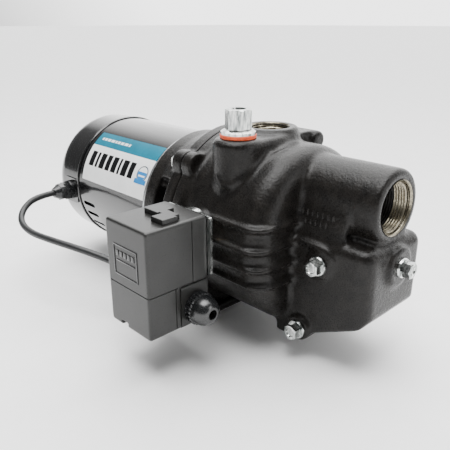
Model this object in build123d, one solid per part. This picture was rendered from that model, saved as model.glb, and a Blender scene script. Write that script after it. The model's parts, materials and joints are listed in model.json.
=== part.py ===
from build123d import *
import math
import os

os.makedirs("parts", exist_ok=True)

# Shallow well jet pump. Millimetres. +X runs along the shaft from the motor to the suction port,
# +Z is up, and the origin is the middle of the base bolt pattern on the underside of the base.

# ---- overall sizes -------------------------------------------------------------------------------
shaft_z = 88.0            # shaft height above the base underside
base_length = 100.0
base_width = 124.0
base_plate = 8.0          # base plate thickness
suction_face_x = 200.0
suction_rise = 44.7       # suction axis above the shaft axis
discharge_x = 72.7
discharge_top = 89.3      # discharge face above the shaft axis
motor_r = 69.5
motor_length = 176.0      # rear of the cap to the front of the end bell
motor_front_x = -24.0     # front rim of the motor shell

# ---- clearances ----------------------------------------------------------------------------------
slide_gap = 0.3           # beside pieces that slide past each other
fit_gap = 0.05            # radial gap of a located spigot or of a ball in its race
bolt_gap = 0.4            # radial gap of a screw in a clearance hole
air_gap = 0.5             # rotor to stator, radial

# ---- motor ---------------------------------------------------------------------------------------
shell_wall = 2.5
cap_length = 55.0
cap_round = 24.0
shell_rear_x = motor_front_x - (motor_length - cap_length)
cap_rear_x = shell_rear_x - cap_length
shell_inner_r = motor_r - shell_wall
bell_flange = 10.0        # end bell rim, seen between the shell and the adapter
bell_web = 6.0
shaft_r = 7.5
bearing_outer_r = 17.5
bearing_width = 11.0
bearing_wall = 3.5
stator_front_x = motor_front_x - 28.0
stator_rear_gap = 17.0    # rear of the stack to the rear of the shell
stator_bore_r = 38.0
winding_overhang = 13.0
end_ring = 6.0            # rotor cage ring
shaft_collar = 4.0
vent_length = 22.0
vent_width = 4.6
vent_rear_x = shell_rear_x + 7.0
vent_angles = (-12.0, -22.5, -34.0)
label_thickness = 0.3
label_rear_x = shell_rear_x + 9.0
label_front_x = motor_front_x - 1.0
label_low_angle = 11.0
label_high_angle = 58.0
tie_rod_r = 2.4
tie_rod_circle = 62.0
capacitor_r = 15.0
capacitor_length = 64.0

# ---- adapter and casing flange -------------------------------------------------------------------
flange_r = 85.0
adapter_flange_x = 22.0
adapter_flange = 12.0
casing_flange = 12.0
joint_x = adapter_flange_x + adapter_flange       # plane where adapter and casing meet
flange_bolt_circle = 82.0
flange_bolt_r = 4.0
flange_head = 13.0        # hexagon across flats
flange_lug_r = 11.5
flange_flat_gap = 0.5     # flat underside of both flanges above the base plate
adapter_wall = 6.0
spigot_length = 4.0
gasket_width = 6.0
gasket_thickness = 1.2

# ---- pump casing ---------------------------------------------------------------------------------
volute_r = 75.0
volute_wall = 8.0
volute_front_x = 134.0
volute_round = 18.0
volute_shift_y = -5.0     # the scroll swells towards the discharge: its outside sits off the shaft axis
volute_shift_z = 5.0
fin_heights = (27.0, 9.5, -6.0, -21.5)
fin_proud = 3.0
fin_thickness = 3.4
fin_rear_x = 76.0
chamber_half_width = 38.5
chamber_shoulder = 19.0   # top of the low front chamber above the shaft axis
chamber_front_x = suction_face_x + 5.0
chamber_drop_front = 44.0
chamber_drop_rear = 75.0
chamber_wall = 7.0
front_boss_r = 16.0
front_boss_proud = 4.0
tube_r = 29.5
suction_thread_r = 20.2   # 1-1/4 inch pipe thread, wall of the tapped hole
suction_thread_length = 26.0
suction_mouth_r = 21.6
discharge_thread_r = 16.0  # 1 inch pipe thread
discharge_thread_length = 22.0
discharge_mouth_r = 17.2
discharge_boss_r = 24.5
block_near_r = 20.5       # end of the top block round the priming plug
block_far_r = 27.0        # end of the top block round the discharge
block_top = 86.0
lug_y = 44.0              # tapped gauge lug on the far side of the discharge
lug_rise = 73.0
lug_r = 8.5
lug_front_x = 94.0
lug_web_x = 88.0

# ---- priming plug --------------------------------------------------------------------------------
priming_x = 83.0
priming_y = -49.0
priming_hole_r = 11.0
priming_boss_r = 17.5
priming_boss_top = 87.0
priming_ring = 3.2        # sealing ring thickness
priming_ring_r = 14.6
priming_flange_r = 14.0
priming_flange = 3.6
priming_hex = 19.0
priming_hex_height = 16.0

# ---- pipe plugs ----------------------------------------------------------------------------------
plug_thread_r = 6.6
plug_hex = 11.5
plug_hex_height = 7.0
plug_flange_r = 8.0
plug_flange = 2.2
side_plug_x = 162.0
side_plug_drop = -1.0
drain_plug_x = 146.0
drain_plug_drop = 62.5
plug_boss_r = 10.5

# ---- hydraulics ----------------------------------------------------------------------------------
nozzle_wall_x = 178.0
nozzle_wall = 8.0
nozzle_r = 9.0
nozzle_hole_r = 3.6
pocket_rise = 14.0        # pressure pocket behind the front plug, above the shaft axis
venturi_r = 13.0
venturi_throat_r = 5.0
venturi_mouth_x = 158.0
venturi_end_x = 80.0
impeller_gap = 7.5        # impeller to the diffuser wall, radial
impeller_back_x = 56.0
impeller_eye_r = 15.0
impeller_width = 10.0
vane_thickness = 2.2
seal_seat_r = 14.0
seal_seat_length = 10.0
diffuser_wall = 2.5
diffuser_gap = 5.0        # diffuser to the casing's inner wall, radial

# ---- pressure switch -----------------------------------------------------------------------------
box_x0 = 44.0
box_width = 52.0
box_near_y = -152.0
box_back_y = -95.0
box_bottom = 37.0
box_height = 87.0
box_wall = 2.0
plate_thickness = 2.5
plate_x0 = 46.0
plate_width = 53.5
plate_bottom = 74.0
plate_height = 49.0
housing_x = 72.0
housing_z = 103.0
housing_r = 20.0
housing_depth = 9.0
nipple_r = 9.0
gland_z = 51.5
gland_y = -107.5
gland_block_depth = 27.0  # base moulding that carries both cable glands
gland_block_top = 72.0
gland_length = 20.0
gland_collar_r = 13.5
gland_dome_r = 12.5
gland_stub_r = 7.0
gland_stub = 7.0
supply_hole_r = 4.0       # open supply cable entry
plunger_length = 8.0      # plunger standing out of the switch plate
lever_gap = 0.6
lever_arm = 20.0          # lever pivot to plunger axis
lever_pin_r = 1.5

# ---- motor cord ----------------------------------------------------------------------------------
cord_d = 6.5
motor_gland_x = -160.0
motor_gland_z = 84.0
motor_gland_pad_proud = 1.0  # flat pad outside the cap's radius
motor_gland_pad_y = -motor_r - motor_gland_pad_proud
motor_gland_length = 21.5
cord_points = [
    (-160.0, -92.0, 84.0),
    (-160.0, -112.5, 84.0),
    (-153.0, -131.0, 77.0),
    (-137.0, -142.5, 69.5),
    (-110.0, -145.5, 66.0),
    (-77.0, -141.0, 66.5),
    (-46.0, -131.0, 64.5),
    (-20.0, -117.0, 58.5),
    (2.0, -107.5, 51.5),
    (24.0, -107.5, 51.5),
]

plate_y = box_back_y + plate_thickness     # back face of the switch plate


# ---- helpers -------------------------------------------------------------------------------------
def block(x0, x1, y0, y1, z0, z1):
    return Pos((x0 + x1) / 2, (y0 + y1) / 2, (z0 + z1) / 2) * Box(x1 - x0, y1 - y0, z1 - z0)


def rod_x(r, x0, x1, y=0.0, z=shaft_z):
    return Pos((x0 + x1) / 2, y, z) * Rot(0, 90, 0) * Cylinder(r, abs(x1 - x0))


def rod_y(r, y0, y1, x, z):
    return Pos(x, (y0 + y1) / 2, z) * Rot(90, 0, 0) * Cylinder(r, y1 - y0)


def rod_z(r, z0, z1, x, y):
    return Pos(x, y, (z0 + z1) / 2) * Cylinder(r, z1 - z0)


def ring_x(r_out, r_in, x0, x1, y=0.0, z=shaft_z):
    return rod_x(r_out, x0, x1, y, z) - rod_x(r_in, x0 - 1, x1 + 1, y, z)


def turned(points, y=0.0, z=shaft_z):
    """Solid turned about an axis along X; points are (x, radius)."""
    outline = Polyline(*[(x, 0, r) for x, r in points], close=True)
    return Pos(0, y, z) * revolve(make_face(outline), Axis.X, 360)


def hexagon(across_flats, height):
    return extrude(RegularPolygon(across_flats / 2, 6, major_radius=False), height)


def around(piece, angle):
    """The piece turned about the shaft axis."""
    return Pos(0, 0, shaft_z) * Rot(angle, 0, 0) * Pos(0, 0, -shaft_z) * piece


def solids_of(pieces):
    return Compound(children=[s for p in pieces for s in p.solids()])


def clean(shape):
    found = shape.solids()
    return found[0] if len(found) == 1 else Compound(children=list(found))


nodes = {}


def keep(name, shape):
    nodes[name] = clean(shape)


volute_inner_r = volute_r - volute_wall
diffuser_r = volute_inner_r - diffuser_gap
impeller_r = diffuser_r - diffuser_wall - impeller_gap


# ---- base ----------------------------------------------------------------------------------------
base_slot_x = 36.0
base_slot_y = 50.0
base_slot_r = 4.5
base_slot_length = 16.0
pedestal_top = 17.0
pedestal_x0 = -11.0
pedestal_x1 = adapter_flange_x - 1.0
pedestal_half = 30.0
base_screw_r = 4.0
base_screw_y = 18.0
base_screw_x = 2.0
motor_ground_gap = 2.0     # least air between the motor and the foot


def base_foot():
    plate = block(-base_length / 2, base_length / 2, -base_width / 2, base_width / 2, 0, base_plate)
    plate = fillet(plate.edges().filter_by(Axis.Z), 10)
    plate = fillet(plate.faces().sort_by(Axis.Z)[-1].edges(), 2)
    pedestal = block(pedestal_x0, pedestal_x1, -pedestal_half, pedestal_half, 0, pedestal_top)
    foot = plate + fillet(pedestal.edges().filter_by(Axis.Z), 4)
    for side_x in (-1, 1):
        for side_y in (-1, 1):
            slot = extrude(SlotOverall(base_slot_length, 2 * base_slot_r), base_plate + 2)
            foot -= Pos(side_x * base_slot_x, side_y * base_slot_y, -1) * slot
    for side in (-1, 1):
        foot -= rod_z(base_screw_r + bolt_gap, -1, pedestal_top + 1, base_screw_x, side * base_screw_y)
        foot -= rod_z(base_screw_r * 2 + 1, -1, base_screw_r + 3, base_screw_x, side * base_screw_y)
    return foot - rod_x(motor_r + motor_ground_gap, cap_rear_x, motor_front_x + bell_flange)


def base_screws():
    screws = []
    for side in (-1, 1):
        head = Pos(base_screw_x, side * base_screw_y, 3) * hexagon(base_screw_r * 3.2, base_screw_r)
        shank = rod_z(base_screw_r, base_screw_r + 3, pedestal_top + 8, base_screw_x, side * base_screw_y)
        screws.append(head + shank)
    return solids_of(screws)


keep("base_foot", base_foot())
keep("base_screws", base_screws())


# ---- adapter -------------------------------------------------------------------------------------
flat_z = base_plate + flange_flat_gap
adapter_rear_x = motor_front_x + bell_flange
adapter_lap = 3.5         # rear ring of the adapter outside the motor
adapter_rear_r = motor_r + adapter_lap
adapter_ring = 10.0
seal_bore_r = seal_seat_r + fit_gap


def lug_places():
    for angle in (45, 135, 225, 315):
        y = flange_bolt_circle * math.cos(math.radians(angle))
        z = shaft_z + flange_bolt_circle * math.sin(math.radians(angle))
        yield y, z


def adapter():
    plate = rod_x(flange_r, adapter_flange_x, joint_x)
    plate += rod_x(diffuser_r + 4, joint_x, joint_x + spigot_length)
    plate -= block(adapter_flange_x - 1, joint_x + spigot_length + 1, -flange_r, flange_r, -10, flat_z)
    for y, z in lug_places():
        plate += rod_x(flange_lug_r, adapter_flange_x, joint_x, y, z)
    inner_front_r = flange_r - 5 - adapter_wall
    skirt = turned([
        (adapter_rear_x, adapter_rear_r - 13),
        (adapter_rear_x, adapter_rear_r),
        (adapter_rear_x + adapter_ring, adapter_rear_r),
        (adapter_flange_x, flange_r - 5),
        (adapter_flange_x, inner_front_r),
        (adapter_rear_x + adapter_ring, adapter_rear_r - adapter_wall),
        (adapter_rear_x + adapter_ring, adapter_rear_r - 13),
    ])
    window_x0 = adapter_rear_x + adapter_ring
    window = block(window_x0, adapter_flange_x - 0.01, -flange_r - 5, flange_r + 5, 0, 34)
    for angle in (-20, 22):
        skirt -= around(Pos(0, 0, shaft_z - 17) * window, angle)
    body = plate + skirt
    hub = rod_x(seal_bore_r + 7, adapter_flange_x - 8, adapter_flange_x)
    body += hub
    for angle in (0, 60, 120, 180, 240, 300):
        rib = block(window_x0 - 4, adapter_flange_x, -3, 3, shaft_z + seal_bore_r + 4,
            shaft_z + adapter_rear_r - 5)
        rib -= block(window_x0 - 5, adapter_flange_x - 14, -4, 4, shaft_z, shaft_z + 48)
        body += around(rib, angle)
    pad = block(pedestal_x0 + 3, adapter_flange_x, -pedestal_half + 3, pedestal_half - 3, pedestal_top, 27)
    body += pad
    body -= block(-60, adapter_flange_x, -90, 90, 0, pedestal_top)
    body -= rod_x(seal_bore_r, joint_x - seal_seat_length + 2, joint_x + spigot_length + 1)
    body -= rod_x(shaft_r + 2, adapter_flange_x - 10, joint_x)
    for y, z in lug_places():
        body -= rod_x(flange_bolt_r + bolt_gap, adapter_flange_x - 1, joint_x + 1, y, z)
        body -= rod_x(flange_head / 2 + 3, adapter_flange_x - 14, adapter_flange_x, y, z)
    for side in (-1, 1):
        body -= rod_z(base_screw_r, pedestal_top - 1, pedestal_top + 8, base_screw_x, side * base_screw_y)
    return body


def casing_screws():
    screws = []
    for y, z in lug_places():
        head = Pos(adapter_flange_x - 5.5, y, z) * Rot(0, 90, 0) * hexagon(flange_head, 5.5)
        shank = rod_x(flange_bolt_r, adapter_flange_x, joint_x + casing_flange - 2, y, z)
        screws.append(head + shank)
    return solids_of(screws)


keep("adapter", adapter())
keep("casing_screws", casing_screws())


# ---- pump casing ---------------------------------------------------------------------------------
suction_z = shaft_z + suction_rise
volute_cavity_x = volute_front_x - volute_wall
tapping_y = -volute_r + volute_shift_y - 1.0      # face that the switch nipple screws into
side_plug_z = shaft_z + side_plug_drop
drain_plug_z = shaft_z - drain_plug_drop
lug_z = shaft_z + lug_rise


def plug_boss_y(x_mid, z_mid, proud):
    return rod_y(plug_boss_r, -chamber_half_width - proud, -chamber_half_width + 12, x_mid, z_mid)


def chamber_body():
    low = shaft_z - chamber_drop_front
    rear_low = shaft_z - chamber_drop_rear
    top = shaft_z + chamber_shoulder
    rear_x = volute_front_x - 14
    side = Polyline(
        (rear_x, 0, rear_low), (volute_front_x, 0, rear_low), (chamber_front_x - 6, 0, low),
        (chamber_front_x, 0, low + 8), (chamber_front_x, 0, top), (rear_x, 0, top), close=True)
    body = extrude(make_face(side), chamber_half_width, dir=(0, 1, 0), both=True)
    front_edges = body.edges().filter_by(Axis.Z).group_by(Axis.X)[-1]
    body = fillet(front_edges, 11)
    long_edges = body.faces().sort_by(Axis.Z)[-1].edges()
    return fillet(long_edges.filter_by(Axis.X), 9)


def saddle_body():
    """Drafted walls that carry the suction tube down to the shoulders of the front chamber."""
    profile = Polyline(
        (0, -tube_r, suction_z), (0, -chamber_half_width + 1, shaft_z + 6),
        (0, chamber_half_width - 1, shaft_z + 6), (0, tube_r, suction_z), close=True)
    saddle = extrude(make_face(profile), suction_face_x - 22 - volute_front_x + 12, dir=(1, 0, 0))
    return Pos(volute_front_x - 12, 0, 0) * saddle


def top_block():
    near = Pos(priming_x, priming_y) * Circle(block_near_r)
    far = Pos(discharge_x, 0) * Circle(block_far_r)
    body = Pos(0, 0, shaft_z) * extrude(make_hull(near.edges() + far.edges()), block_top)
    return fillet(body.faces().sort_by(Axis.Z)[-1].edges(), 4)


def volute_shell(radius, front_x, rounding, shift_y=0.0, shift_z=0.0):
    drum = rod_x(radius, joint_x, front_x, shift_y, shaft_z + shift_z)
    return fillet(drum.edges().sort_by(Axis.X)[-1], rounding)


def fins():
    """Level stiffening fins that follow the volute's rounded front corner."""
    shelf = None
    for rise in fin_heights:
        low_z = shaft_z + rise - fin_thickness / 2
        slab = block(fin_rear_x, volute_front_x + fin_proud, -90, 0, low_z, low_z + fin_thickness)
        shelf = slab if shelf is None else shelf + slab
    reach = volute_shell(volute_r + fin_proud, volute_front_x + fin_proud, volute_round - 2,
        volute_shift_y, volute_shift_z)
    return shelf & reach


def casing_outside():
    body = rod_x(flange_r, joint_x, joint_x + casing_flange)
    for y, z in lug_places():
        body += rod_x(flange_lug_r, joint_x, joint_x + casing_flange, y, z)
    body += volute_shell(volute_r, volute_front_x, volute_round)
    body += volute_shell(volute_r, volute_front_x, volute_round, volute_shift_y, volute_shift_z)
    body += chamber_body()
    body += saddle_body()
    tube = rod_x(tube_r, volute_front_x - 60, suction_face_x, 0, suction_z)
    body += fillet(tube.edges().sort_by(Axis.X)[-1], 4)
    body += top_block()
    boss = rod_z(discharge_boss_r, shaft_z + 40, shaft_z + discharge_top, discharge_x, 0)
    body += fillet(boss.edges().sort_by(Axis.Z)[-1], 2)
    seat = rod_z(priming_boss_r, shaft_z + 50, shaft_z + priming_boss_top, priming_x, priming_y)
    body += fillet(seat.edges().sort_by(Axis.Z)[-1], 0.8)
    gauge = rod_x(lug_r, joint_x + casing_flange, lug_front_x, lug_y, lug_z)
    gauge = fillet(gauge.edges().sort_by(Axis.X)[-1], 3)
    body += gauge
    body += block(joint_x + casing_flange, lug_web_x, 0, lug_y, lug_z - 12, lug_z + lug_r)
    body += fins()
    body += plug_boss_y(side_plug_x, side_plug_z, 3)
    body += plug_boss_y(drain_plug_x, drain_plug_z, 4)
    nose = rod_x(front_boss_r, chamber_front_x - 12, chamber_front_x + front_boss_proud)
    body += fillet(nose.edges().sort_by(Axis.X)[-1], 2)
    tapping = rod_y(nipple_r + 4.5, tapping_y, -volute_inner_r + 2, housing_x, housing_z)
    body += tapping
    body -= block(joint_x - 1, joint_x + casing_flange, -flange_r - 20, flange_r + 20, -10, flat_z)
    return body


def casing_inside():
    space = rod_x(volute_inner_r, joint_x - 1, volute_cavity_x)
    space += rod_x(volute_inner_r + gasket_width, joint_x - 1, joint_x + gasket_thickness)
    space += rod_x(suction_thread_r, suction_face_x - suction_thread_length, suction_face_x + 1, 0, suction_z)
    space += Pos(suction_face_x, 0, suction_z) * Rot(0, -90, 0) * Cone(
        suction_mouth_r, suction_thread_r, 2.4, align=(Align.CENTER, Align.CENTER, Align.MIN))
    space += rod_x(tube_r - 8, volute_front_x + 10, suction_face_x - suction_thread_length + 1, 0, suction_z)
    chamber_rear_x = volute_front_x + chamber_wall
    half = chamber_half_width - chamber_wall
    space += block(chamber_rear_x, nozzle_wall_x, -half + 6, half - 6, shaft_z - 22, suction_z)
    duct = Polyline(
        (volute_cavity_x - 6, 0, shaft_z - 60), (chamber_front_x - chamber_wall, 0, shaft_z - 32),
        (chamber_front_x - chamber_wall, 0, shaft_z + pocket_rise),
        (nozzle_wall_x + nozzle_wall, 0, shaft_z + pocket_rise),
        (nozzle_wall_x + nozzle_wall, 0, shaft_z - 29), (volute_cavity_x - 6, 0, shaft_z - 40), close=True)
    space += extrude(make_face(duct), 20, dir=(0, 1, 0), both=True)
    space += rod_x(venturi_r + fit_gap, volute_cavity_x - 1, chamber_rear_x + 1)
    space += rod_x(nozzle_r, nozzle_wall_x - 1, nozzle_wall_x + nozzle_wall + 1)
    top = shaft_z + discharge_top
    space += rod_z(discharge_thread_r, top - discharge_thread_length, top + 1, discharge_x, 0)
    space += Pos(discharge_x, 0, top) * Rot(180, 0, 0) * Cone(
        discharge_mouth_r, discharge_thread_r, 2.0, align=(Align.CENTER, Align.CENTER, Align.MIN))
    space += rod_z(discharge_thread_r - 2, shaft_z + 40, top - discharge_thread_length + 1, discharge_x, 0)
    space += rod_z(priming_hole_r, shaft_z + 30, shaft_z + priming_boss_top + 1, priming_x, priming_y)
    plug_r = plug_thread_r
    space += rod_y(plug_r, -chamber_half_width - 6, -half + 8, side_plug_x, side_plug_z)
    space += rod_y(plug_r, -chamber_half_width - 6, -18, drain_plug_x, drain_plug_z)
    space += rod_x(plug_r, chamber_front_x - chamber_wall - 1, chamber_front_x + front_boss_proud + 1)
    space += rod_y(nipple_r - 3, tapping_y - 2, -volute_inner_r + 8, housing_x, housing_z)
    space += rod_y(nipple_r + 5.5, tapping_y - 10, tapping_y, housing_x, housing_z)
    for y, z in lug_places():
        space += rod_x(flange_bolt_r, joint_x - 1, joint_x + casing_flange - 2, y, z)
    return space


keep("pump_casing", casing_outside() - casing_inside())


# ---- casing plugs --------------------------------------------------------------------------------
def pipe_plug(depth):
    """Hex head pipe plug along +Z, its flange seated on Z = 0."""
    head = hexagon(plug_hex, plug_flange + plug_hex_height)
    head &= Cylinder(plug_hex * 0.56, 2 * (plug_flange + plug_hex_height))
    flange = extrude(Circle(plug_flange_r), plug_flange)
    shank = Pos(0, 0, -depth) * extrude(Circle(plug_thread_r), depth)
    recess = Pos(0, 0, plug_flange + plug_hex_height - 1.2) * extrude(Circle(plug_hex * 0.33), 2)
    return flange + head + shank - recess


def priming_plug():
    base_z = shaft_z + priming_boss_top + priming_ring
    head_z = base_z + priming_flange
    head = Pos(priming_x, priming_y, head_z) * hexagon(priming_hex, priming_hex_height)
    flange = rod_z(priming_flange_r, base_z, head_z, priming_x, priming_y)
    flange = fillet(flange.edges().sort_by(Axis.Z)[-1], 2)
    shank = rod_z(priming_hole_r - slide_gap, base_z - 16, base_z, priming_x, priming_y)
    plug = head + flange + shank
    return plug - rod_z(priming_hex * 0.33, head_z + priming_hex_height - 2.5, head_z + 30, priming_x,
        priming_y)


def priming_ring_solid():
    base_z = shaft_z + priming_boss_top
    ring = rod_z(priming_ring_r, base_z, base_z + priming_ring, priming_x, priming_y)
    ring = fillet(ring.edges(), 1.2)
    return ring - rod_z(priming_hole_r - slide_gap, base_z - 1, base_z + priming_ring + 1, priming_x,
        priming_y)


keep("priming_plug", priming_plug())
keep("priming_seal_ring", priming_ring_solid())
side_boss_y = -chamber_half_width - 3
drain_boss_y = -chamber_half_width - 4
keep("side_plug", Pos(side_plug_x, side_boss_y, side_plug_z) * Rot(90, 0, 0) * pipe_plug(12))
keep("drain_plug", Pos(drain_plug_x, drain_boss_y, drain_plug_z) * Rot(90, 0, 0) * pipe_plug(12))
front_boss_x = chamber_front_x + front_boss_proud
keep("front_plug", Pos(front_boss_x, 0, shaft_z) * Rot(0, 90, 0) * pipe_plug(10))


# ---- hydraulics ----------------------------------------------------------------------------------
def casing_gasket():
    return ring_x(volute_inner_r + gasket_width, volute_inner_r, joint_x, joint_x + gasket_thickness)


def nozzle():
    wall_front_x = nozzle_wall_x + nozzle_wall
    body = turned([
        (nozzle_wall_x - 14, nozzle_hole_r), (nozzle_wall_x - 14, nozzle_hole_r + 1.6),
        (nozzle_wall_x, nozzle_r - 1),
        (nozzle_wall_x, nozzle_r), (wall_front_x, nozzle_r), (wall_front_x, nozzle_r + 3),
        (wall_front_x + 4, nozzle_r + 3), (wall_front_x + 4, nozzle_r - 2.5)])
    return body


def venturi():
    return turned([
        (venturi_end_x, venturi_r - 2), (venturi_end_x, venturi_r), (venturi_mouth_x - 6, venturi_r),
        (venturi_mouth_x, venturi_r - 1), (venturi_mouth_x, venturi_r - 2.5),
        (venturi_mouth_x - 12, venturi_throat_r), (venturi_mouth_x - 26, venturi_throat_r)])


def diffuser():
    rear_x = impeller_back_x - 5
    front_x = impeller_back_x + impeller_width + 8
    cup = turned([
        (rear_x, diffuser_r - diffuser_wall), (rear_x, diffuser_r), (front_x, diffuser_r),
        (front_x + 4, diffuser_r - 6),
        (front_x + 4, venturi_r + 5), (venturi_end_x + 14, venturi_r + 5),
        (venturi_end_x + 14, venturi_r + fit_gap),
        (venturi_end_x - 3, venturi_r + fit_gap), (venturi_end_x - 3, impeller_eye_r + 5),
        (front_x, impeller_eye_r + 5), (front_x, diffuser_r - diffuser_wall)])
    for number in range(6):
        cut = block(rear_x - 1, front_x - 6, -9, 9, shaft_z + diffuser_r - 6, shaft_z + diffuser_r + 2)
        cup -= around(cut, number * 60 + 15)
    return cup


def curved_vane(radius, sweep, height):
    """Backward-curved vane: a band of a circle that starts at the origin."""
    band = extrude(Circle(radius) - Circle(radius - vane_thickness), height)
    wedge = Polyline(
        (0, 0), (radius * 2, 0),
        (radius * 2 * math.cos(math.radians(sweep)), radius * 2 * math.sin(math.radians(sweep))), close=True)
    return Pos(-radius, 0, 0) * (band & extrude(make_face(wedge), height))


def impeller():
    hub_r = shaft_r + 5
    back = impeller_back_x
    front = back + impeller_width
    wheel = turned([
        (back - 4, shaft_r), (back - 4, hub_r), (back, hub_r), (back, impeller_r), (back + 2, impeller_r),
        (back + 2, hub_r), (back + 7, shaft_r)])
    wheel += turned([
        (front - 2, impeller_eye_r), (front - 2, impeller_r), (front, impeller_r),
        (front, impeller_eye_r + 2),
        (front + 5, impeller_eye_r + 2), (front + 5, impeller_eye_r)])
    vane = curved_vane(impeller_r * 0.62, 68, impeller_width - 3.8)
    for number in range(6):
        placed = Rot(0, 0, number * 60) * Pos(impeller_eye_r + 2.5, 0, 0) * vane
        wheel += Pos(back + 1.9, 0, shaft_z) * Rot(0, 90, 0) * placed
    return wheel


def seal_seat():
    seat_x0 = joint_x - seal_seat_length + 2
    return ring_x(seal_seat_r, shaft_r + 1.5, seat_x0, seat_x0 + seal_seat_length)


def seal_head():
    seat_front = joint_x + 2
    return turned([
        (seat_front, shaft_r), (seat_front, shaft_r + 4), (seat_front + 3, shaft_r + 4),
        (seat_front + 3, shaft_r + 5.5),
        (impeller_back_x - 4, shaft_r + 5.5), (impeller_back_x - 4, shaft_r)])


def slinger():
    slinger_x = adapter_flange_x - 26
    return turned([
        (slinger_x, shaft_r), (slinger_x, shaft_r + 4), (slinger_x + 3, shaft_r + 5),
        (slinger_x + 4, shaft_r + 14),
        (slinger_x + 6, shaft_r + 14), (slinger_x + 6, shaft_r + 5), (slinger_x + 9, shaft_r + 4),
        (slinger_x + 9, shaft_r)])


keep("casing_gasket", casing_gasket())
keep("nozzle", nozzle())
keep("venturi", venturi())
keep("diffuser", diffuser())
keep("impeller", impeller())
keep("seal_seat", seal_seat())
keep("seal_head", seal_head())
keep("slinger", slinger())


# ---- motor ---------------------------------------------------------------------------------------
front_bearing_x = motor_front_x - 4.0
rear_bearing_x = shell_rear_x - 2.0
shaft_rear_x = rear_bearing_x - 32.0
shaft_front_x = impeller_back_x + 7.0
ball_circle = (shaft_r + bearing_outer_r) / 2
race_gap = bearing_outer_r - shaft_r - 2 * bearing_wall
ball_r = race_gap / 2 - fit_gap
stator_rear_x = shell_rear_x + stator_rear_gap
rotor_r = stator_bore_r - air_gap


def vent_slot(angle):
    """Slot through the shell wall on the -Y side, at an angle above (+) or below (-) the shaft."""
    slot = extrude(SlotOverall(vent_length, vent_width), 12)
    placed = Pos(vent_rear_x + vent_length / 2, 0, shaft_z + motor_r - 7) * slot
    return around(placed, 90 - angle)


def motor_shell():
    shell = ring_x(motor_r, shell_inner_r, shell_rear_x, motor_front_x)
    for angle in vent_angles:
        shell -= vent_slot(angle)
        shell -= vent_slot(180 - angle)
    return shell


def rear_bell():
    x0 = shell_rear_x
    bell = ring_x(shell_inner_r, shell_inner_r - 5, x0, x0 + 8)
    bell += rod_x(shell_inner_r - 4, x0, x0 + 3.5)
    bell += rod_x(bearing_outer_r + 5, rear_bearing_x - 4, rear_bearing_x + bearing_width)
    bell -= rod_x(bearing_outer_r, rear_bearing_x, rear_bearing_x + bearing_width + 1)
    bell -= rod_x(shaft_r + 2, rear_bearing_x - 6, rear_bearing_x + 1)
    for number in range(6):
        window = rod_x(9, x0 - 1, x0 + 5, 0, shaft_z + 44)
        bell -= around(window, number * 60 + 30)
    for number in range(4):
        bell -= around(rod_x(tie_rod_r, x0 + 3.5, x0 + 9, 0, shaft_z + tie_rod_circle), number * 90 + 45)
    return bell


def end_bell():
    x0 = motor_front_x
    bell = rod_x(motor_r + 0.5, x0, x0 + bell_web)
    bell += ring_x(motor_r + 0.5, motor_r - 8, x0, x0 + bell_flange)
    bell += ring_x(shell_inner_r, shell_inner_r - 4, x0 - 8, x0)
    bell += rod_x(bearing_outer_r + 5, front_bearing_x - bearing_width - 2, x0 + bell_web)
    bell -= rod_x(bearing_outer_r, front_bearing_x - bearing_width - 3, front_bearing_x)
    bell -= rod_x(shaft_r + 2, front_bearing_x - 1, x0 + bell_flange + 1)
    for number in range(8):
        window = rod_x(8, x0 - 1, x0 + bell_web + 1, 0, shaft_z + 45)
        bell -= around(window, number * 45 + 22.5)
    for number in range(4):
        bell -= around(rod_x(tie_rod_r, x0 - 9, x0 + bell_flange + 1, 0, shaft_z + tie_rod_circle),
            number * 90 + 45)
    return bell


def rear_cap():
    outer = rod_x(motor_r, cap_rear_x, shell_rear_x)
    outer = fillet(outer.edges().sort_by(Axis.X)[0], cap_round)
    pad = block(motor_gland_x - 12, shell_rear_x - 2, motor_gland_pad_y, -50, motor_gland_z - 14,
        motor_gland_z + 14)
    outer += fillet(pad.edges().filter_by(Axis.Y), 4)
    inner = rod_x(shell_inner_r, cap_rear_x + shell_wall, shell_rear_x + 1)
    outer -= fillet(inner.edges().sort_by(Axis.X)[0], cap_round - shell_wall)
    outer -= rod_y(6.2, motor_gland_pad_y - 1, -40, motor_gland_x, motor_gland_z)
    for side in (-1, 1):
        outer -= rod_x(2.6, cap_rear_x - 1, cap_rear_x + 4, side * 30, shaft_z)
    for step in range(5):
        z = shaft_z - 30 + step * 6
        slot = block(cap_rear_x - 1, cap_rear_x + shell_wall + 1, -16, 16, z - 1.3, z + 1.3)
        outer -= slot
    return outer


def cap_screws():
    screws = []
    for side in (-1, 1):
        head = rod_x(4.5, cap_rear_x - 2.2, cap_rear_x, side * 30, shaft_z)
        head -= block(cap_rear_x - 3, cap_rear_x - 1.2, side * 30 - 5, side * 30 + 5, shaft_z - 0.7,
            shaft_z + 0.7)
        head += rod_x(2.4, cap_rear_x, shell_rear_x, side * 30, shaft_z)
        screws.append(head)
    return solids_of(screws)


def tie_rods():
    rods = []
    for number in range(4):
        rod = rod_x(tie_rod_r, shell_rear_x + 3.5, motor_front_x + bell_flange - 3, 0,
            shaft_z + tie_rod_circle)
        rods.append(around(rod, number * 90 + 45))
    return solids_of(rods)


def stator_core():
    core = ring_x(shell_inner_r, stator_bore_r, stator_rear_x, stator_front_x)
    for number in range(4):
        hole = rod_x(tie_rod_r + bolt_gap, stator_rear_x - 1, stator_front_x + 1, 0, shaft_z + tie_rod_circle)
        core -= around(hole, number * 90 + 45)
    return core


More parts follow.
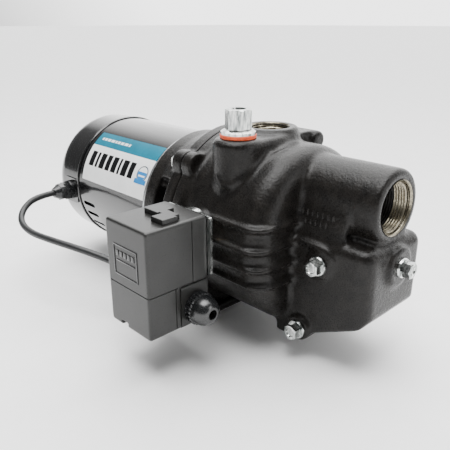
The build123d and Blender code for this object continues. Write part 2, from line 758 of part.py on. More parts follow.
def stator_windings():
    rings = []
    mid_r = (stator_bore_r + tie_rod_circle) / 2
    half = (tie_rod_circle - stator_bore_r) / 2 - 4
    for x0 in (stator_rear_x - winding_overhang, stator_front_x):
        ring = ring_x(mid_r + half, mid_r - half, x0, x0 + winding_overhang)
        rings.append(fillet(ring.edges(), 3))
    return solids_of(rings)


def rotor_core():
    core = ring_x(rotor_r, shaft_r, stator_rear_x, stator_front_x)
    for x0 in (stator_rear_x - end_ring, stator_front_x):
        core += ring_x(rotor_r - 3, rotor_r - 14, x0, x0 + end_ring)
    return core


def shaft():
    body = rod_x(shaft_r, shaft_rear_x, shaft_front_x)
    for x0 in (rear_bearing_x + bearing_width, front_bearing_x - bearing_width - shaft_collar):
        body += rod_x(shaft_r + 2, x0, x0 + shaft_collar)
    return body


def bearing_outer(x0):
    return ring_x(bearing_outer_r, bearing_outer_r - bearing_wall, x0, x0 + bearing_width)


def bearing_inner(x0):
    return ring_x(shaft_r + bearing_wall, shaft_r, x0, x0 + bearing_width)


def bearing_balls(x0):
    balls = []
    for number in range(8):
        ball = Pos(x0 + bearing_width / 2, 0, shaft_z + ball_circle) * Sphere(ball_r)
        balls.append(around(ball, number * 45))
    return solids_of(balls)


def cooling_fan():
    fan_x = stator_front_x + end_ring
    fan_front_x = front_bearing_x - bearing_width - shaft_collar
    fan = ring_x(16, shaft_r, fan_x, fan_front_x)
    fan += ring_x(stator_bore_r - 6, 15, fan_x, fan_x + 1.6)
    for number in range(9):
        blade = block(fan_x, fan_front_x, -0.9, 0.9, shaft_z + 15, shaft_z + stator_bore_r - 6)
        fan += around(blade, number * 40)
    return fan


def start_governor():
    governor_x = shaft_rear_x + 4
    return turned([
        (governor_x, shaft_r), (governor_x, 18), (governor_x + 2, 18), (governor_x + 6, 14),
        (governor_x + 12, 12),
        (governor_x + 12, shaft_r)])


def start_switch():
    plate_x = shaft_rear_x - 3
    plate = block(plate_x, plate_x + 2, -26, 26, shaft_z - 34, shaft_z - 12)
    plate += block(plate_x - 4, plate_x, -10, 10, shaft_z - 30, shaft_z - 22)
    for side in (-1, 1):
        post = rod_x(2.5, plate_x + 2, shell_rear_x, side * 22, shaft_z - 30)
        plate += post
    return plate


def start_capacitor():
    x_mid = cap_rear_x + shell_wall + capacitor_r + 10
    can = rod_y(capacitor_r, -capacitor_length / 2, capacitor_length / 2, x_mid, shaft_z + 36)
    return fillet(can.edges(), 1.5)


def motor_label():
    label = ring_x(motor_r + label_thickness, motor_r, label_rear_x, label_front_x)
    reach = motor_r * 3
    low = math.radians(label_low_angle)
    high = math.radians(label_high_angle)
    wedge = Polyline(
        (label_rear_x, 0, shaft_z), (label_rear_x, -reach * math.cos(low), shaft_z + reach * math.sin(low)),
        (label_rear_x, -reach * math.cos(high), shaft_z + reach * math.sin(high)), close=True)
    return label & extrude(make_face(wedge), label_front_x - label_rear_x, dir=(1, 0, 0))


keep("motor_shell", motor_shell())
keep("rear_bell", rear_bell())
keep("end_bell", end_bell())
keep("rear_cap", rear_cap())
keep("cap_screws", cap_screws())
keep("tie_rods", tie_rods())
keep("stator_core", stator_core())
keep("stator_windings", stator_windings())
keep("rotor_core", rotor_core())
keep("shaft", shaft())
for bearing_name, bearing_x0 in (("front", front_bearing_x - bearing_width), ("rear", rear_bearing_x)):
    keep(bearing_name + "_bearing_outer", bearing_outer(bearing_x0))
    keep(bearing_name + "_bearing_inner", bearing_inner(bearing_x0))
    keep(bearing_name + "_bearing_balls", bearing_balls(bearing_x0))
keep("cooling_fan", cooling_fan())
keep("start_governor", start_governor())
keep("start_switch", start_switch())
keep("start_capacitor", start_capacitor())
keep("motor_label", motor_label())


# ---- pressure switch -----------------------------------------------------------------------------
box_x1 = box_x0 + box_width
box_top = box_bottom + box_height
block_front_y = box_back_y - gland_block_depth
inside_near_y = box_near_y + box_wall
lever_pivot_z = housing_z - lever_arm
plunger_r = 4.0
spring_z = housing_z + 11


def switch_nipple():
    nipple = rod_y(nipple_r - 3, tapping_y, -volute_inner_r - 1, housing_x, housing_z)
    housing_y1 = plate_y + housing_depth
    hexed = Pos(housing_x, tapping_y, housing_z) * Rot(90, 0, 0) * hexagon(2 * nipple_r,
        tapping_y - housing_y1)
    return nipple + hexed


def diaphragm_housing():
    housing_y1 = plate_y + housing_depth
    cup = rod_y(housing_r, plate_y, housing_y1, housing_x, housing_z)
    cup = fillet(cup.edges().sort_by(Axis.Y)[-1], 3)
    cup -= rod_y(housing_r - 4, plate_y - 1, plate_y + 4, housing_x, housing_z)
    return cup - rod_y(3, plate_y, housing_y1 + 1, housing_x, housing_z)


def diaphragm():
    return rod_y(housing_r - 4, plate_y + 0.6, plate_y + 2.2, housing_x, housing_z)


def switch_plate():
    plate = block(plate_x0, plate_x0 + plate_width, box_back_y, plate_y, plate_bottom,
        plate_bottom + plate_height)
    plate = fillet(plate.edges().filter_by(Axis.Y), 3)
    hole = rod_y(plunger_r + slide_gap, box_back_y - 1, plate_y + 1, housing_x, housing_z)
    return plate - hole


def gland_block():
    """Base moulding behind the cover: it holds the glands and the terminals."""
    base = block(box_x0, box_x1, block_front_y, box_back_y, box_bottom, gland_block_top)
    base = fillet(base.edges().filter_by(Axis.Y), 2)
    base -= block(box_x0 + 4, box_x1 - 4, block_front_y - 1, box_back_y - 3, box_bottom + 4,
        gland_block_top + 1)
    base -= rod_x(gland_stub_r + bolt_gap, box_x0 - 1, box_x1 + 1, gland_y, gland_z)
    back = block(box_x0 + box_wall + 0.5, box_x1 - box_wall - 0.5, box_back_y - 3, box_back_y,
                 gland_block_top - 0.5, plate_bottom + plate_height - 1.5)
    base += back
    return base - rod_y(plunger_r + slide_gap, box_back_y - 4, box_back_y + 1, housing_x, housing_z)


def switch_plunger():
    return rod_y(plunger_r, box_back_y - plunger_length, plate_y + 0.4, housing_x, housing_z)


def switch_lever():
    y1 = box_back_y - plunger_length - lever_gap
    lever = block(housing_x - 9, housing_x + 9, y1 - 2, y1, lever_pivot_z - 4, housing_z + 14)
    lever += rod_x(3, housing_x - 9, housing_x + 9, y1 - 3, lever_pivot_z)
    lever -= rod_y(3.6, y1 - 4, y1 + 1, housing_x, spring_z)
    return lever - rod_x(lever_pin_r + fit_gap, housing_x - 10, housing_x + 10, y1 - 3, lever_pivot_z)


def lever_pin():
    y1 = box_back_y - plunger_length - lever_gap
    pin = rod_x(lever_pin_r, housing_x - 13, housing_x + 13, y1 - 3, lever_pivot_z)
    for side in (-1, 1):
        ear_x = housing_x + side * 11.5
        ear = block(ear_x - 1.5, ear_x + 1.5, y1 - 6, box_back_y - 3, lever_pivot_z - 3, lever_pivot_z + 3)
        pin += ear
    return pin


def contact_block():
    contacts = block(housing_x - 16, housing_x + 16, inside_near_y + 14, inside_near_y + 26, 50, 68)
    for number in range(4):
        slot_x = housing_x - 12 + number * 8
        contacts -= block(slot_x - 2.4, slot_x + 2.4, inside_near_y + 13, inside_near_y + 20, 58, 69)
    return contacts + block(housing_x - 16, housing_x + 16, inside_near_y + 26, box_back_y - 3, 50, 53)


def terminal_screws():
    screws = []
    for number in range(4):
        slot_x = housing_x - 12 + number * 8
        screw = rod_z(1.9, 58, 61, slot_x, inside_near_y + 16.5)
        screws.append(screw)
    return solids_of(screws)


def spring_stud():
    stud_y1 = box_back_y - 3
    return rod_y(2.0, box_near_y + 16, stud_y1, housing_x, spring_z)


def spring_nut():
    nut = Pos(housing_x, box_near_y + 22, spring_z) * Rot(90, 0, 0) * hexagon(7, 4)
    return nut - rod_y(2.0, box_near_y, box_back_y, housing_x, spring_z)


def range_spring():
    pitch = 3.4
    length = 17.0
    coil = Helix(pitch=pitch, height=length, radius=3.4)
    wire = sweep(Plane(origin=coil @ 0, z_dir=coil % 0) * Circle(0.7), path=coil)
    return Pos(housing_x, box_near_y + 23 + length, spring_z) * Rot(90, 0, 0) * wire


def switch_cover():
    cover = block(box_x0, box_x1, box_near_y, box_back_y - slide_gap, box_bottom, box_top)
    cover = fillet(cover.edges().filter_by(Axis.Y), 3)
    cover = fillet(cover.faces().sort_by(Axis.Y)[0].edges(), 2)
    cover -= block(box_x0 + box_wall, box_x1 - box_wall, box_near_y + box_wall, box_back_y + 1,
                   box_bottom + box_wall, box_top - box_wall)
    notch = block(box_x0 - 1, box_x1 + 1, block_front_y - slide_gap, box_back_y + 1,
                  box_bottom - 1, gland_block_top + slide_gap)
    cover -= notch
    for z in (60.0, 78.0):
        groove = block(box_x0 - 1, box_x0 + 0.8, box_near_y + 12, block_front_y, z, z + 1)
        cover -= groove
    foot_notch = block(box_x0 + 14, box_x0 + 22, box_near_y - 1, box_near_y + 8, box_bottom - 1,
        box_bottom + 4)
    return cover - foot_notch


def cover_latch():
    """Snap hook that stands on top of the cover."""
    base_y = box_back_y - 26
    latch = block(box_x0 + 14, box_x0 + 30, base_y - 4, base_y + 12, box_top, box_top + 4)
    latch += block(box_x0 + 26, box_x0 + 44, base_y - 2, base_y + 6, box_top, box_top + 4)
    latch += block(box_x0 + 33, box_x0 + 47, base_y - 12, base_y + 2, box_top, box_top + 4)
    return fillet(latch.faces().sort_by(Axis.Z)[-1].edges(), 0.6)


def ball_gland(length):
    """Cord gland along +Z from its seat at Z = 0: collar, ribbed nut and domed end."""
    collar = extrude(Circle(gland_collar_r), 5)
    nut = Pos(0, 0, 5) * extrude(RegularPolygon(gland_collar_r - 0.7, 8), 5)
    dome = Pos(0, 0, length - 10.3) * Sphere(gland_dome_r)
    dome &= Pos(0, 0, 9.9) * extrude(Circle(20), length - 9.9)
    return collar + nut + dome


def box_gland(side):
    face_x = box_x1 if side > 0 else box_x0
    gland = Pos(face_x, gland_y, gland_z) * Rot(0, 90 * side, 0) * ball_gland(gland_length)
    gland += rod_x(gland_stub_r, face_x, face_x - side * gland_stub, gland_y, gland_z)
    if side > 0:
        gland -= rod_x(supply_hole_r, face_x - gland_stub - 1, face_x + gland_length + 1, gland_y, gland_z)
    return gland


def box_gland_nut(side):
    face_x = box_x1 if side > 0 else box_x0
    inner_x = face_x - side * 4
    nut = Pos(inner_x, gland_y, gland_z) * Rot(0, -90 * side, 0) * hexagon(18, gland_stub - 4)
    return nut - rod_x(gland_stub_r, inner_x - 6, inner_x + 6, gland_y, gland_z)


def motor_gland():
    seat = Pos(motor_gland_x, motor_gland_pad_y, motor_gland_z) * Rot(90, 0, 0)
    body = extrude(Circle(10.5), 4) + extrude(RegularPolygon(10, 6), 10)
    body += Pos(0, 0, -6) * extrude(Circle(6), 6)
    return seat * body


def motor_gland_cap():
    seat = Pos(motor_gland_x, motor_gland_pad_y - 10, motor_gland_z) * Rot(90, 0, 0)
    cap = extrude(RegularPolygon(9.4, 8), 5.5)
    taper = Pos(0, 0, 5.5) * Cone(8.2, 5.2, motor_gland_length - 15.5,
        align=(Align.CENTER, Align.CENTER, Align.MIN))
    return seat * (cap + taper)


keep("switch_nipple", switch_nipple())
keep("diaphragm_housing", diaphragm_housing())
keep("diaphragm", diaphragm())
keep("switch_plate", switch_plate())
keep("switch_base", gland_block())
keep("switch_plunger", switch_plunger())
keep("switch_lever", switch_lever())
keep("lever_pivot", lever_pin())
keep("contact_block", contact_block())
keep("terminal_screws", terminal_screws())
keep("spring_stud", spring_stud())
keep("spring_nut", spring_nut())
keep("range_spring", range_spring())
keep("switch_cover", switch_cover())
keep("cover_latch", cover_latch())
keep("supply_gland", box_gland(1))
keep("cord_gland", box_gland(-1))
keep("gland_lock_nuts", solids_of([box_gland_nut(1), box_gland_nut(-1)]))
keep("motor_gland", motor_gland())
keep("motor_gland_cap", motor_gland_cap())


# ---- motor cord ----------------------------------------------------------------------------------
def motor_cord():
    runs = [Vector(*b) - Vector(*a) for a, b in zip(cord_points, cord_points[1:])]
    radii = []
    for before, after in zip(runs, runs[1:]):
        half_turn = math.radians(before.get_angle(after)) / 2
        radii.append(0.45 * min(before.length, after.length) / math.tan(half_turn))
    print("cord radii", [round(r, 1) for r in radii])
    path = FilletPolyline(*cord_points, radius=radii)
    section = Plane(origin=cord_points[0], z_dir=runs[0]) * Circle(cord_d / 2)
    cord = sweep(section, path=path)
    print("cord length", round(path.length, 1), "volume ratio", cord.volume / (section.area * path.length))
    return cord


keep("motor_cord", motor_cord())

for node_name, node_shape in nodes.items():
    export_step(node_shape, "parts/" + node_name + ".step")
print(len(nodes), "nodes")
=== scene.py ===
import json
from math import cos, degrees, pi, radians, sin, sqrt

import bmesh
import bpy
from mathutils import Matrix, Vector


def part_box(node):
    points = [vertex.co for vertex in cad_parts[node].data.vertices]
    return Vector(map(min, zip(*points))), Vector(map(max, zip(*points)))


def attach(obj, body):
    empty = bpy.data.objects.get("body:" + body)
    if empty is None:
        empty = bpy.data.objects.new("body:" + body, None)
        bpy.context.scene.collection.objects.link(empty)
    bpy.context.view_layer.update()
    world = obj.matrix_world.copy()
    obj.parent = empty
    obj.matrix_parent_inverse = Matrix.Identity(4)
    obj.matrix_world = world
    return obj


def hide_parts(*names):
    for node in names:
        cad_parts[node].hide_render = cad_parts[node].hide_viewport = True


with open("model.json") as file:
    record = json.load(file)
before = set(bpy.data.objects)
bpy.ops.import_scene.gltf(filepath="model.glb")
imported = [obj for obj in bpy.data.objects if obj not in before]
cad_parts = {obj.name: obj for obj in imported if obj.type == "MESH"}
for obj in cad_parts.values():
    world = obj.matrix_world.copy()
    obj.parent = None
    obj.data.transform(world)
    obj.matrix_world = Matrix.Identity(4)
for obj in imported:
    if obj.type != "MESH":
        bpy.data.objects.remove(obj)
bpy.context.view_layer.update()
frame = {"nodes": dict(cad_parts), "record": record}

mm = 0.001
nodes = frame["nodes"]
slotOf = {part["node"]: part["material_slot"] for part in frame["record"]["subparts"]}
bodyOf = {}
for body, members in frame["record"]["behaviour"]["bodies"].items():
    for member in members:
        bodyOf[member] = body
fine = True
scene = bpy.context.scene
shaftZ = 88 * mm  # height of the shaft above the base
print("frame loaded:", len(nodes), "CAD nodes")


def middle(node):
    low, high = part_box(node)
    return (low + high) / 2


# camera
lookout = {"place": (0.3861, -0.3541, 0.2616), "tilt": 69.5, "turn": 46.2, "lens": 43.656}
cameraData = bpy.data.cameras.new("camera")
cameraData.lens = lookout["lens"]
cameraData.sensor_width = 36
camera = bpy.data.objects.new("camera", cameraData)
camera.location = lookout["place"]
camera.rotation_euler = (radians(lookout["tilt"]), 0, radians(lookout["turn"]))
scene.collection.objects.link(camera)
scene.camera = camera


# motor cord, from the motor gland into the switch's hidden gland
cordRoute = {
    "diameter": 6.5 * mm,
    "length": 230.9 * mm,
    "points": [
        (-160, -92, 84), (-160, -112.5, 84), (-153, -131, 77), (-137, -142.5, 69.5), (-110, -145.5, 66),
        (-77, -141, 66.5), (-46, -131, 64.5), (-20, -117, 58.5), (2, -107.5, 51.5), (24, -107.5, 51.5)],
}
cordData = bpy.data.curves.new("motorCord", "CURVE")
cordData.dimensions = "3D"
cordData.resolution_u = 24
cordData.bevel_depth = 1  # each point's radius holds the cord's own, so that its box stays tight
cordData.bevel_resolution = 6
cordData.use_fill_caps = True
cordLine = cordData.splines.new("NURBS")
cordLine.points.add(len(cordRoute["points"]) - 1)
for control, point in zip(cordLine.points, cordRoute["points"]):
    control.co = (*(Vector(point) * mm), 1)
    control.radius = cordRoute["diameter"] / 2
cordLine.order_u = 3
cordLine.use_endpoint_u = True
cord = bpy.data.objects.new("motorCord", cordData)
scene.collection.objects.link(cord)
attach(cord, "pump")
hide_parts("motor_cord")
print("camera and cord made")


def toLinear(hexCode):
    channels = [int(hexCode[i:i + 2], 16) / 255 for i in (0, 2, 4)]
    return (*[c / 12.92 if c <= 0.04045 else ((c + 0.055) / 1.055) ** 2.4 for c in channels], 1)


def addNode(tree, kind, settings=None, links=None):
    # a shader node with its settings, and what each of its inputs is fed from
    node = tree.nodes.new(kind)
    for key, value in (settings or {}).items():
        if key == "stops":
            elements = node.color_ramp.elements
            for place, colour in value[2:]:
                elements.new(place)
            for element, (place, colour) in zip(elements, sorted(value)):
                element.position = place
                element.color = toLinear(colour) if isinstance(colour, str) else (colour, colour, colour, 1)
        elif isinstance(key, str) and hasattr(node, key):
            setattr(node, key, value)
        else:
            node.inputs[key].default_value = value
    for key, socket in (links or {}).items():
        tree.links.new(socket, node.inputs[key])
    return node


def makeMaterial(name, shader, grains=(), colour=None, roughness=None, bumps=()):
    # grains: noise fields by size in mm; colour and roughness: (which grain, ramp stops);
    # bumps: (which grain, depth in mm, strength)
    material = bpy.data.materials.new(name)
    material.use_nodes = True
    tree = material.node_tree
    tree.nodes.clear()
    surface = addNode(tree, "ShaderNodeBsdfPrincipled", shader)
    addNode(tree, "ShaderNodeOutputMaterial", {}, {"Surface": surface.outputs["BSDF"]})
    where = addNode(tree, "ShaderNodeTexCoord").outputs["Object"]
    fields = []
    for grain in grains:
        stretch = addNode(tree, "ShaderNodeMapping", {"Scale": grain.get("stretch", (1, 1, 1))},
                          {"Vector": where})
        kind = "ShaderNodeTexVoronoi" if grain.get("cells") else "ShaderNodeTexNoise"
        settings = {"Scale": 1 / (grain["size"] * mm)}
        settings["Detail"] = grain.get("detail", 3)
        settings["Roughness"] = grain.get("rough", 0.6)
        field = addNode(tree, kind, settings, {"Vector": stretch.outputs["Vector"]})
        fields.append(field.outputs["Distance" if grain.get("cells") else "Fac"])
    for part, socket in ((colour, "Base Color"), (roughness, "Roughness")):
        if part:
            spread = addNode(tree, "ShaderNodeValToRGB", {"stops": part[1]}, {"Fac": fields[part[0]]})
            tree.links.new(spread.outputs["Color"], surface.inputs[socket])
    normal = None
    for which, depth, strength in bumps:
        links = {"Height": fields[which]}
        if normal:
            links["Normal"] = normal
        bump = addNode(tree, "ShaderNodeBump", {"Distance": depth * mm, "Strength": strength}, links)
        normal = bump.outputs["Normal"]
    if normal:
        tree.links.new(normal, surface.inputs["Normal"])
    return material


finish = {}

# grey iron cast in green sand and dipped in black enamel: pebbled satin skin, with paler and drier high spots
finish["black_casting"] = makeMaterial(
    "enamelledSandCasting", {"IOR": 1.5, "Specular IOR Level": 0.2},
    grains=[{"size": 1.1, "detail": 4, "rough": 0.65}, {"size": 9, "detail": 3},
            {"size": 2.6, "cells": True}],
    colour=(1, [(0.3, "100f0e"), (0.7, "1f1d1b")]),
    roughness=(0, [(0.3, 0.18), (0.7, 0.42)]),
    bumps=[(1, 1.2, 0.3), (2, 0.35, 0.35), (0, 0.25, 0.6)])

# black enamel stoved on rolled steel: deep mirror gloss with faint orange peel
finish["gloss_black"] = makeMaterial(
    "stovedEnamel", {"IOR": 1.5, "Specular IOR Level": 0.5, "Coat Weight": 0.6, "Coat Roughness": 0.08},
    grains=[{"size": 4, "detail": 1, "rough": 0.4}, {"size": 30}],
    colour=(1, [(0.3, "070708"), (0.7, "0b0b0c")]),
    roughness=(1, [(0.3, 0.16), (0.7, 0.24)]),
    bumps=[(0, 0.05, 0.15)])

# die-cast aluminium, turned on its rim: bright grey with fine mottling
finish["bare_aluminium"] = makeMaterial(
    "dieCastAluminium", {"Metallic": 1},
    grains=[{"size": 2, "detail": 3}],
    colour=(0, [(0.3, "a4a6a8"), (0.7, "cfd0d1")]),
    roughness=(0, [(0.3, 0.42), (0.7, 0.28)]),
    bumps=[(0, 0.05, 0.4)])

# barrel-plated zinc: pale and bright, with dark and light streaks along Z painted into the colour as
# reflections
finish["zinc"] = makeMaterial(
    "barrelPlatedZinc", {"Metallic": 1},
    grains=[{"size": 2.2, "detail": 4, "stretch": (1, 1, 0.2)}, {"size": 0.9, "stretch": (1, 1, 0.15)}],
    colour=(0, [(0.34, "6e7372"), (0.5, "c2c5c3"), (0.66, "eeefec")]),
    roughness=(0, [(0.3, 0.24), (0.7, 0.14)]),
    bumps=[(1, 0.03, 0.4)])

# orange silicone, moulded: soft sheen and a warm body
finish["orange_seal"] = makeMaterial(
    "mouldedSilicone", {"IOR": 1.41, "Subsurface Weight": 0.1, "Subsurface Scale": 0.002},
    grains=[{"size": 4, "detail": 2}, {"size": 0.9}],
    colour=(0, [(0.3, "d2451b"), (0.7, "ea6334")]),
    roughness=(0, [(0.3, 0.36), (0.7, 0.5)]),
    bumps=[(1, 0.03, 0.3)])

# dark grey ABS from a spark-eroded mould: even fine grain and a broad sheen
finish["dark_plastic"] = makeMaterial(
    "mouldedAbs", {"IOR": 1.53, "Specular IOR Level": 0.3},
    grains=[{"size": 0.8}, {"size": 26, "detail": 2}],
    colour=(1, [(0.3, "212120"), (0.7, "292928")]),
    roughness=(0, [(0.3, 0.26), (0.7, 0.36)]),
    bumps=[(0, 0.04, 0.35)])

# black polyamide, moulded: smoother than the box, with tight highlights
finish["black_nylon"] = makeMaterial(
    "mouldedPolyamide", {"IOR": 1.53, "Specular IOR Level": 0.6},
    grains=[{"size": 1.4}, {"size": 14}],
    colour=(1, [(0.3, "101112"), (0.7, "1a1b1c")]),
    roughness=(0, [(0.3, 0.2), (0.7, 0.3)]),
    bumps=[(0, 0.03, 0.3)])

# rubber cable jacket, extruded: matt, with drag lines along its run
finish["black_rubber"] = makeMaterial(
    "extrudedRubber", {"IOR": 1.5},
    grains=[{"size": 1.5, "detail": 4}, {"size": 12}],
    colour=(1, [(0.3, "151617"), (0.7, "222324")]),
    roughness=(0, [(0.3, 0.38), (0.7, 0.55)]),
    bumps=[(0, 0.06, 0.35)])

# ground steel: cool grey with a fine grain
finish["steel"] = makeMaterial(
    "groundSteel", {"Metallic": 1},
    grains=[{"size": 1.2}],
    colour=(0, [(0.3, "9a9c9e"), (0.7, "c2c4c6")]),
    roughness=(0, [(0.3, 0.34), (0.7, 0.22)]),
    bumps=[(0, 0.03, 0.3)])

# stamped laminations: thin stacked plates, 0.6 mm a plate and drawn at 1 mm so that they show
finish["lamination"] = makeMaterial(
    "stampedLaminations", {"Metallic": 1},
    grains=[{"size": 1, "stretch": (1, 0.05, 0.05)}, {"size": 3}],
    colour=(1, [(0.3, "4c4d50"), (0.7, "6d6e72")]),
    roughness=(1, [(0.3, 0.4), (0.7, 0.55)]),
    bumps=[(0, 0.2, 0.6)])

# varnished copper wire: amber sheen over fine strands
finish["copper_winding"] = makeMaterial(
    "varnishedCopperWire", {"Metallic": 1},
    grains=[{"size": 0.9, "stretch": (1, 0.2, 0.2)}, {"size": 5}],
    colour=(1, [(0.3, "8a4a22"), (0.7, "c97a43")]),
    roughness=(0, [(0.3, 0.28), (0.7, 0.45)]),
    bumps=[(0, 0.3, 0.6)])

# glass-filled resin, moulded: dull, with short pale fibres near the skin
finish["glass_filled"] = makeMaterial(
    "glassFilledResin", {"IOR": 1.5},
    grains=[{"size": 0.8, "detail": 4}, {"size": 10}],
    colour=(0, [(0.3, "1c1c1e"), (0.75, "303033")]),
    roughness=(1, [(0.3, 0.45), (0.7, 0.6)]),
    bumps=[(0, 0.05, 0.3)])

# free-turning brass: warm, with fine tool marks
finish["brass_part"] = makeMaterial(
    "turnedBrass", {"Metallic": 1},
    grains=[{"size": 1}],
    colour=(0, [(0.3, "a98643"), (0.7, "d3b069")]),
    roughness=(0, [(0.3, 0.34), (0.7, 0.22)]),
    bumps=[(0, 0.03, 0.3)])

# lapped ceramic: near-white and very even
finish["ceramic"] = makeMaterial(
    "lappedCeramic", {"IOR": 1.76},
    grains=[{"size": 2}],
    colour=(0, [(0.3, "d6d0c2"), (0.7, "ebe6da")]),
    roughness=(0, [(0.3, 0.2), (0.7, 0.28)]),
    bumps=[(0, 0.01, 0.2)])

# pressed fibre gasket: matt brown-black
finish["gasket"] = makeMaterial(
    "pressedFibre", {"IOR": 1.5},
    grains=[{"size": 0.8, "detail": 4}],
    colour=(0, [(0.3, "2b2825"), (0.7, "3c3834")]),
    roughness=(0, [(0.3, 0.65), (0.7, 0.8)]),
    bumps=[(0, 0.08, 0.4)])

# printed vinyl label: white ink field under a clear film
finish["label"] = makeMaterial(
    "printedVinylWhite", {"IOR": 1.5, "Coat Weight": 0.3, "Coat Roughness": 0.1},
    grains=[{"size": 20}, {"size": 1}],
    colour=(0, [(0.3, "e9eaea"), (0.7, "f4f5f5")]),
    roughness=(1, [(0.3, 0.28), (0.7, 0.36)]),
    bumps=[(1, 0.01, 0.2)])

# printed inks on the same film
inks = {}
for inkName, low, high in (("Teal", "06647a", "0c7289"), ("Black", "070708", "0d0d0f"),
                           ("Blue", "2374b4", "2f86c4"), ("Navy", "15233f", "1d2c4b")):
    inks[inkName] = makeMaterial(
        "printedVinyl" + inkName, {"IOR": 1.5, "Specular IOR Level": 0.3},
        grains=[{"size": 20}, {"size": 1}],
        colour=(0, [(0.3, low), (0.7, high)]),
        roughness=(1, [(0.3, 0.28), (0.7, 0.36)]),
        bumps=[(1, 0.01, 0.2)])

# iron fresh from the tap: bright warm grey, scored round the bore
tappedIron = makeMaterial(
    "tappedIron", {"Metallic": 1},
    grains=[{"size": 1.5}, {"size": 0.5}],
    colour=(0, [(0.28, "5f5a52"), (0.6, "98917f")]),
    roughness=(0, [(0.3, 0.4), (0.7, 0.24)]),
    bumps=[(1, 0.04, 0.4)])

# deeper thread turns inside the ports: dull and dark brown, painted shade for the depth of the bore
boreShadePainted = makeMaterial(
    "paintedBoreShade", {"IOR": 1.5},
    grains=[{"size": 1.4, "detail": 4}, {"size": 5}],
    colour=(1, [(0.3, "0b0a09"), (0.7, "1d1813")]),
    roughness=(0, [(0.3, 0.6), (0.7, 0.85)]),
    bumps=[(0, 0.4, 0.6)])

for nodeName, cadNode in nodes.items():
    cadNode.data.materials.clear()
    cadNode.data.materials.append(finish[slotOf[nodeName]])
cordData.materials.append(finish["black_rubber"])
print("materials made:", len(bpy.data.materials))


def addPiece(name, mesh, body, slot, standsFor=(), material=None, sharp=35):
    # puts a mesh in the scene as a piece that rides on a body
    mesh.name = name
    piece = bpy.data.objects.new(name, mesh)
    scene.collection.objects.link(piece)
    mesh.materials.clear()
    mesh.materials.append(material or finish[slot])
    for face in mesh.polygons:
        face.use_smooth = True
    mesh.set_sharp_from_angle(angle=radians(sharp))
    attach(piece, body)
    if standsFor:
        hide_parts(*standsFor)
    return piece


def loft(skin, rings, closed=True, capStart=False, capEnd=False):
    # skins a row of point rings that all have the same number of points
    rows = [[skin.verts.new(point) for point in ring] for ring in rings]
    count = len(rows[0])
    for lower, upper in zip(rows, rows[1:]):
        for i in range(count if closed else count - 1):
            j = (i + 1) % count
            skin.faces.new((lower[i], lower[j], upper[j], upper[i]))
    if capStart:
        skin.faces.new(rows[0][::-1])
    if capEnd:
        skin.faces.new(rows[-1])


def ring(radius, height, count=72, sides=0, flutes=0, depth=0):
    # ring about Z in mm: round, many-sided (radius is then to the flats) or fluted
    points = []
    for i in range(count):
        angle = 2 * pi * i / count
        r = radius
        if sides:
            step = 2 * pi / sides
            r = radius / cos((angle + step / 2) % step - step / 2)
        if flutes:
            r -= depth * (0.5 + 0.5 * cos(flutes * angle)) ** 3
        points.append(Vector((r * cos(angle), r * sin(angle), height)))
    return points


def finished(skin, place=(0, 0, 0), along=(0, 0, 1)):
    # turns a skin made in mm round Z into a mesh in metres, with Z laid along a direction from a place
    turn = Vector((0, 0, 1)).rotation_difference(Vector(along)).to_matrix().to_4x4()
    bmesh.ops.transform(skin, matrix=Matrix.Scale(mm, 4), verts=skin.verts)
    bmesh.ops.transform(skin, matrix=Matrix.Translation(Vector(place)) @ turn, verts=skin.verts)
    bmesh.ops.remove_doubles(skin, verts=skin.verts, dist=0.001 * mm)
    bmesh.ops.recalc_face_normals(skin, faces=skin.faces)
    mesh = bpy.data.meshes.new("mesh")
    skin.to_mesh(mesh)
    skin.free()
    return mesh


def turnedMesh(profile, place, along, count=72, capStart=True, capEnd=True):
    # profile: (radius, height, options of ring) in mm
    skin = bmesh.new()
    rings = [ring(row[0], row[1], count, **(row[2] if len(row) > 2 else {})) for row in profile]
    loft(skin, rings, capStart=capStart, capEnd=capEnd)
    return finished(skin, place, along)


def hexHeadRings(flats, low, high, bevel, count=72):
    # hexagon whose top corners are turned off by a cone, as on a bar-turned plug
    lower = ring(flats / 2, low, count, sides=6)
    turned = flats / 2 * 0.97
    upper = []
    for point in ring(flats / 2, high, count, sides=6):
        reach = Vector((point.x, point.y, 0)).length
        upper.append(Vector((point.x, point.y, high - (reach - turned) * bevel)))
    return [lower, upper, ring(turned, high, count)]


def boxMesh(low, high, bevel=0.0, segments=2):
    # block between two corners in mm, with rounded edges
    skin = bmesh.new()
    bmesh.ops.create_cube(skin, size=1)
    low, high = Vector(low), Vector(high)
    for vert in skin.verts:
        vert.co = Vector(low[i] if vert.co[i] < 0 else high[i] for i in range(3))
    if bevel:
        bmesh.ops.bevel(skin, geom=list(skin.edges), offset=bevel, segments=segments, profile=0.5,
                        affect="EDGES")
    return finished(skin)


def rodMesh(radius, start, end, count=48):
    # plain rod between two points in mm, used to fill castings
    start, end = Vector(start), Vector(end)
    skin = bmesh.new()
    length = (end - start).length
    loft(skin, [ring(radius, 0, count), ring(radius, length, count)], capStart=True, capEnd=True)
    return finished(skin, start * mm, (end - start).normalized())


def joined(meshes):
    skin = bmesh.new()
    for mesh in meshes:
        skin.from_mesh(mesh)
    whole = bpy.data.meshes.new("joined")
    skin.to_mesh(whole)
    skin.free()
    return whole


def worked(mesh, steps):
    # runs a mesh through modifiers, given as (kind, settings), and returns the result
    holder = bpy.data.objects.new("holder", mesh)
    scene.collection.objects.link(holder)
    for kind, settings in steps:
        step = holder.modifiers.new(kind, kind)
        for key, value in settings.items():
            setattr(step, key, value)
    bpy.context.view_layer.update()
    result = bpy.data.meshes.new_from_object(holder.evaluated_get(bpy.context.evaluated_depsgraph_get()))
    bpy.data.objects.remove(holder)
    return result


